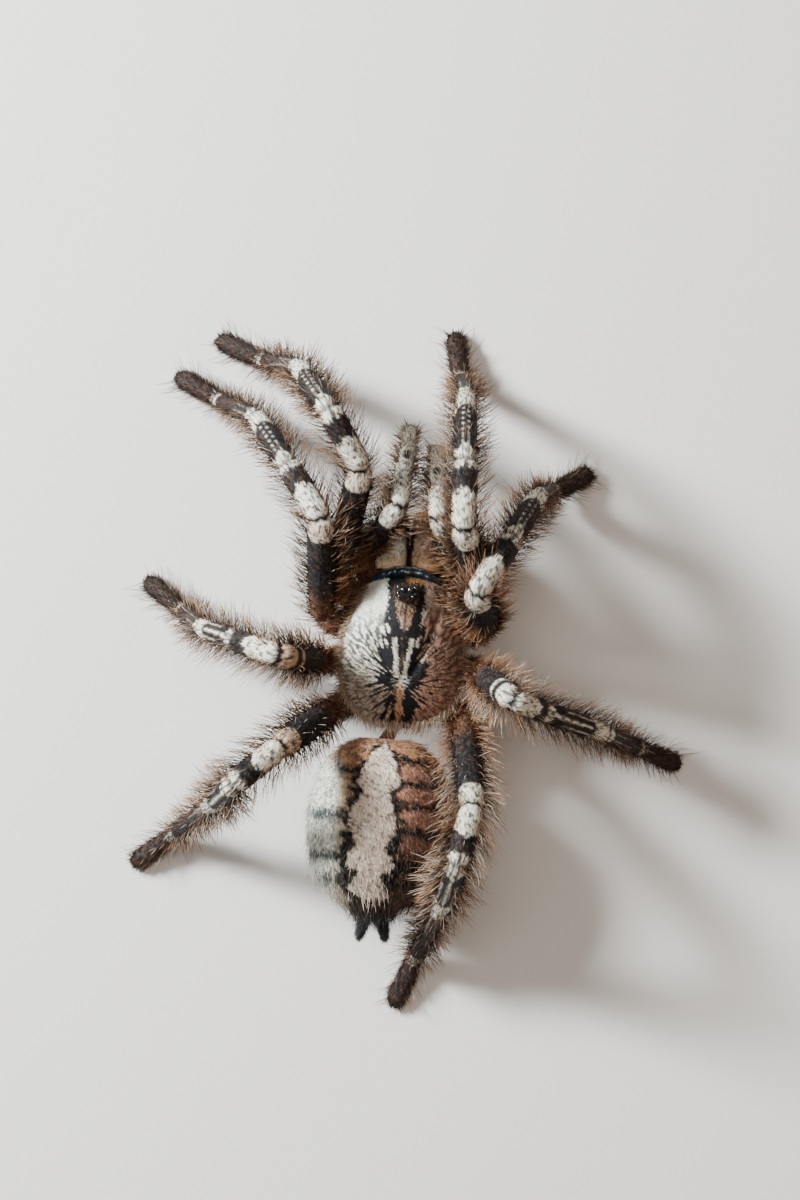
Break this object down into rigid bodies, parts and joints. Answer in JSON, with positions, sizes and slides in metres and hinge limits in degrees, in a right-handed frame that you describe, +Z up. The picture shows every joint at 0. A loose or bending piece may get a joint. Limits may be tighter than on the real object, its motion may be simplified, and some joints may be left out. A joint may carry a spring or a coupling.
{
  "type": "tarantula model",
  "caption": "Life-size still model of a large tree-dwelling tarantula standing on the floor, with a banded velvety coat, long bristles, glossy eyes and a leaf-patterned abdomen.",
  "frame": {"origin": "centre of the footprint's bounding box, on the floor", "axes": "+Z up from the floor; the head looks along -Y, so the spindle-shaped body and its longest extent lie along Y; the spider's left side is +X"},
  "size_m": [0.0874, 0.1074, 0.0344],
  "materials": {
    "coat_dark": "short dense black-brown hair, soft sheen",
    "coat_pale": "short dense cream hair",
    "coat_brown": "short brown hair",
    "shield": "low shell plate under close-lying cream and dark hair",
    "abdomen_velvet": "velvety patterned hair",
    "underside_velvet": "dark velvety hair",
    "horn": "polished black-brown horn",
    "eye_gloss": "glossy black lens"
  },
  "bodies": {
    "root": {"leg_l1_femur": "coat_dark", "leg_l1_patella": "coat_pale", "leg_l1_tibia": "coat_dark", "leg_l1_metatarsus": "coat_dark", "leg_l1_tarsus": "coat_brown", "leg_l2_femur": "coat_dark", "leg_l2_patella": "coat_pale", "leg_l2_tibia": "coat_dark", "leg_l2_metatarsus": "coat_dark", "leg_l2_tarsus": "coat_brown", "leg_l3_femur": "coat_dark", "leg_l3_patella": "coat_pale", "leg_l3_tibia": "coat_dark", "leg_l3_metatarsus": "coat_dark", "leg_l3_tarsus": "coat_brown", "leg_l4_femur": "coat_dark", "leg_l4_patella": "coat_pale", "leg_l4_tibia": "coat_dark", "leg_l4_metatarsus": "coat_dark", "leg_l4_tarsus": "coat_brown", "leg_r1_femur": "coat_dark", "leg_r1_patella": "coat_pale", "leg_r1_tibia": "coat_dark", "leg_r1_metatarsus": "coat_dark", "leg_r1_tarsus": "coat_brown", "leg_r2_femur": "coat_dark", "leg_r2_patella": "coat_pale", "leg_r2_tibia": "coat_dark", "leg_r2_metatarsus": "coat_dark", "leg_r2_tarsus": "coat_brown", "leg_r3_femur": "coat_dark", "leg_r3_patella": "coat_pale", "leg_r3_tibia": "coat_dark", "leg_r3_metatarsus": "coat_dark", "leg_r3_tarsus": "coat_brown", "leg_r4_femur": "coat_dark", "leg_r4_patella": "coat_pale", "leg_r4_tibia": "coat_dark", "leg_r4_metatarsus": "coat_dark", "leg_r4_tarsus": "coat_brown", "palp_l_femur": "coat_dark", "palp_l_patella": "coat_pale", "palp_l_tibia": "coat_dark", "palp_l_tarsus": "coat_brown", "palp_r_femur": "coat_dark", "palp_r_patella": "coat_pale", "palp_r_tibia": "coat_dark", "palp_r_tarsus": "coat_brown", "abdomen": "abdomen_velvet", "carapace": "shield", "chelicera_l": "coat_brown", "chelicera_r": "coat_brown", "eyes": "eye_gloss", "fang_l": "horn", "fang_r": "horn", "pedicel": "underside_velvet", "spinneret_l": "coat_brown", "spinneret_r": "coat_brown", "underside": "underside_velvet"}
  },
  "joints": []
}
